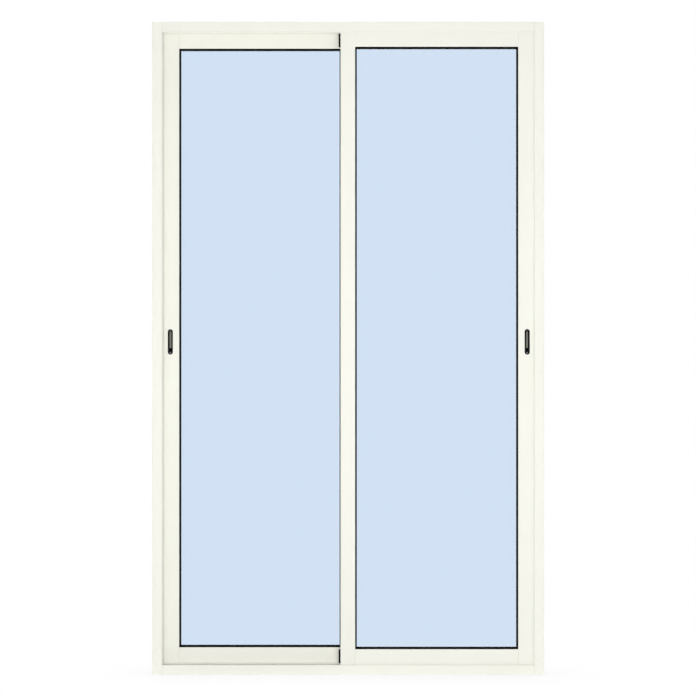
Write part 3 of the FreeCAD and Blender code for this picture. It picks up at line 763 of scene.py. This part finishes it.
class DOOR_OT_brush_seals(bpy.types.Operator):
    """Builds the pile of the brush seals on both leaves"""

    bl_idname = "door.brush_seals"
    bl_label = "Brush seals"

    def execute(self, context):
        sizes = context.scene.door_sizes
        material = pile_weave(context.scene.door_colours)
        draw = random.Random(PILE_SEED)
        for side in SIDES:
            node = f"{side}_pile_seals"
            depth = middle_of(node).y
            strips = solids_of(node)
            low, high = strips[0]
            size = high - low
            run = pile_run(sizes, min(size.x, size.z), size.y - sizes.pile_backing, draw)
            shape = bmesh.new()
            for strip_low, strip_high in strips:
                facing = 1 if strip_low.y > depth else -1
                add_brush(shape, strip_low, strip_high, facing, sizes, run)
            bmesh.ops.recalc_face_normals(shape, faces=shape.faces)
            brush = finish_piece(f"{side}_pile_brushes", shape, [material], f"{side}_sash")
            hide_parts(node)
        return {"FINISHED"}


class DOOR_OT_stage(bpy.types.Operator):
    """Sets up the camera, the floor and the studio light"""

    bl_idname = "door.stage"
    bl_label = "Stage"

    # Each lamp's name, the setting that gives its power, its place, and its width and height
    LAMPS = (
        ("front_lamp", "front_power", (0, -4.5, 0.5), (2.4, 0.9)),
        ("key_lamp", "key_power", (2.5, -6.4, 1.2), (1.2, 2.2)),
        ("fill_lamp", "fill_power", (-2.2, -6.4, 1.2), (1.0, 2.2)),
        ("top_lamp", "top_power", (0, 0, 4.6), (2.4, 2.4)),
        ("rear_left_lamp", "rear_power", (-4.2, 4.6, 2.2), (2.0, 2.0)),
        ("rear_right_lamp", "rear_power", (4.2, 4.6, 2.2), (2.0, 2.0)),
    )

    def execute(self, context):
        scene = context.scene
        settings = scene.door_stage
        scene.view_settings.view_transform = "Standard"
        self.camera(scene, settings)
        self.floor(scene, settings)
        self.world(scene, settings)
        for name, power, place, size in self.LAMPS:
            self.lamp(scene, name, place, size, getattr(settings, power))
        return {"FINISHED"}

    def camera(self, scene, settings):
        """A level camera in front of the door's middle."""
        sensor_width = 36
        room_face = CAD_BOX[0].y
        data = bpy.data.cameras.new("camera")
        data.sensor_width = sensor_width
        data.lens = sensor_width * (settings.camera_distance + room_face) / settings.view_width
        camera = bpy.data.objects.new("camera", data)
        camera.location = (settings.aim_across, -settings.camera_distance, settings.aim_height)
        camera.rotation_euler = (math.pi / 2, 0, 0)
        scene.collection.objects.link(camera)
        scene.camera = camera

    def floor(self, scene, settings):
        """A pale floor that shows white, with a soft shadow round the door's foot."""
        reach = 30
        gap = 0.5 * MILLIMETRE
        paint = (0.9, 0.9, 0.9)
        shape = bmesh.new()
        bmesh.ops.create_grid(shape, x_segments=1, y_segments=1, size=reach)
        mesh = bpy.data.meshes.new("floor")
        shape.to_mesh(mesh)
        shape.free()
        floor = bpy.data.objects.new("floor", mesh)
        floor.location.z = CAD_BOX[0].z - gap
        scene.collection.objects.link(floor)
        material = bpy.data.materials.new("pale_floor")
        tree = NodeTree(material)
        straight, through, glossy = tree.rays("Camera", "Transmission", "Glossy")
        openness = tree.node("ShaderNodeAmbientOcclusion", inputs={"Distance": settings.shadow_reach})
        shade = 1 - Value(tree, openness.outputs["AO"])
        mirrored = glossy * (1 - through)
        dimmed = settings.shadow_depth * shade + (1 - settings.mirrored) * mirrored
        lit = tree.node("ShaderNodeBsdfDiffuse", inputs={"Color": paint})
        white = tree.node("ShaderNodeEmission", inputs={"Color": (1, 1, 1)})
        black = tree.node("ShaderNodeBsdfDiffuse", inputs={"Color": (0, 0, 0)})
        shown = tree.blend(white, black, dimmed)
        both = tree.blend(lit, shown, straight | through | glossy)
        tree.node("ShaderNodeOutputMaterial", inputs={"Surface": both.outputs[0]})
        mesh.materials.append(material)

    def world(self, scene, settings):
        """Even light that looks white, through glass too, and is mirrored dimmer near the horizon."""
        world = bpy.data.worlds.new("studio")
        scene.world = world
        tree = NodeTree(world)
        straight, through, glossy = tree.rays("Camera", "Transmission", "Glossy")
        seen = straight | through
        direction = tree.node("ShaderNodeTexCoord").outputs["Generated"]
        split = tree.node("ShaderNodeSeparateXYZ", inputs={0: direction})
        rise = Value(tree, split.outputs["Z"]) | 0
        graded = settings.mirrored + (1 - settings.mirrored) * rise
        strength = seen + (1 - seen) * (glossy * graded + (1 - glossy) * settings.ambient)
        light = tree.node("ShaderNodeBackground", inputs={"Color": (1, 1, 1), "Strength": strength})
        tree.node("ShaderNodeOutputWorld", inputs={"Surface": light.outputs[0]})

    def lamp(self, scene, name, place, size, power):
        """A soft rectangular lamp that points at the door's middle and isn't seen itself."""
        aim = (CAD_BOX[0] + CAD_BOX[1]) / 2
        data = bpy.data.lights.new(name, "AREA")
        data.energy = power
        data.shape = "RECTANGLE"
        data.size, data.size_y = size
        lamp = bpy.data.objects.new(name, data)
        lamp.location = place
        lamp.rotation_euler = (aim - lamp.location).to_track_quat("-Z", "Y").to_euler()
        lamp.visible_camera = False
        lamp.visible_glossy = False
        lamp.visible_transmission = False
        scene.collection.objects.link(lamp)


OPERATORS = (
    DOOR_OT_profiles,
    DOOR_OT_glazing,
    DOOR_OT_running_gear,
    DOOR_OT_latches,
    DOOR_OT_corner_screws,
    DOOR_OT_brush_seals,
    DOOR_OT_stage,
)

GROUPS = {"door_colours": DoorColours, "door_sizes": DoorSizes, "door_stage": StageSettings}


class DOOR_PT_panel(bpy.types.Panel):
    """Lists the door's settings and the steps that dress it"""

    bl_idname = "DOOR_PT_panel"
    bl_label = "Patio Door"
    bl_space_type = "VIEW_3D"
    bl_region_type = "UI"
    bl_category = "Patio Door"

    def draw(self, context):
        for pointer, group in GROUPS.items():
            column = self.layout.column()
            for name in group.__annotations__:
                column.prop(getattr(context.scene, pointer), name)
        for operator in OPERATORS:
            self.layout.operator(operator.bl_idname)


def register():
    for group in GROUPS.values():
        bpy.utils.register_class(group)
    for name, group in GROUPS.items():
        setattr(bpy.types.Scene, name, PointerProperty(type=group))
    for shown in (*OPERATORS, DOOR_PT_panel):
        bpy.utils.register_class(shown)


def unregister():
    for shown in (DOOR_PT_panel, *reversed(OPERATORS)):
        bpy.utils.unregister_class(shown)
    for name, group in GROUPS.items():
        delattr(bpy.types.Scene, name)
        bpy.utils.unregister_class(group)


def main():
    register()
    bpy.ops.door.profiles()
    bpy.ops.door.glazing()
    bpy.ops.door.running_gear()
    bpy.ops.door.latches()
    bpy.ops.door.corner_screws()
    bpy.ops.door.brush_seals()
    bpy.ops.door.stage()


if __name__ == "__main__":
    main()
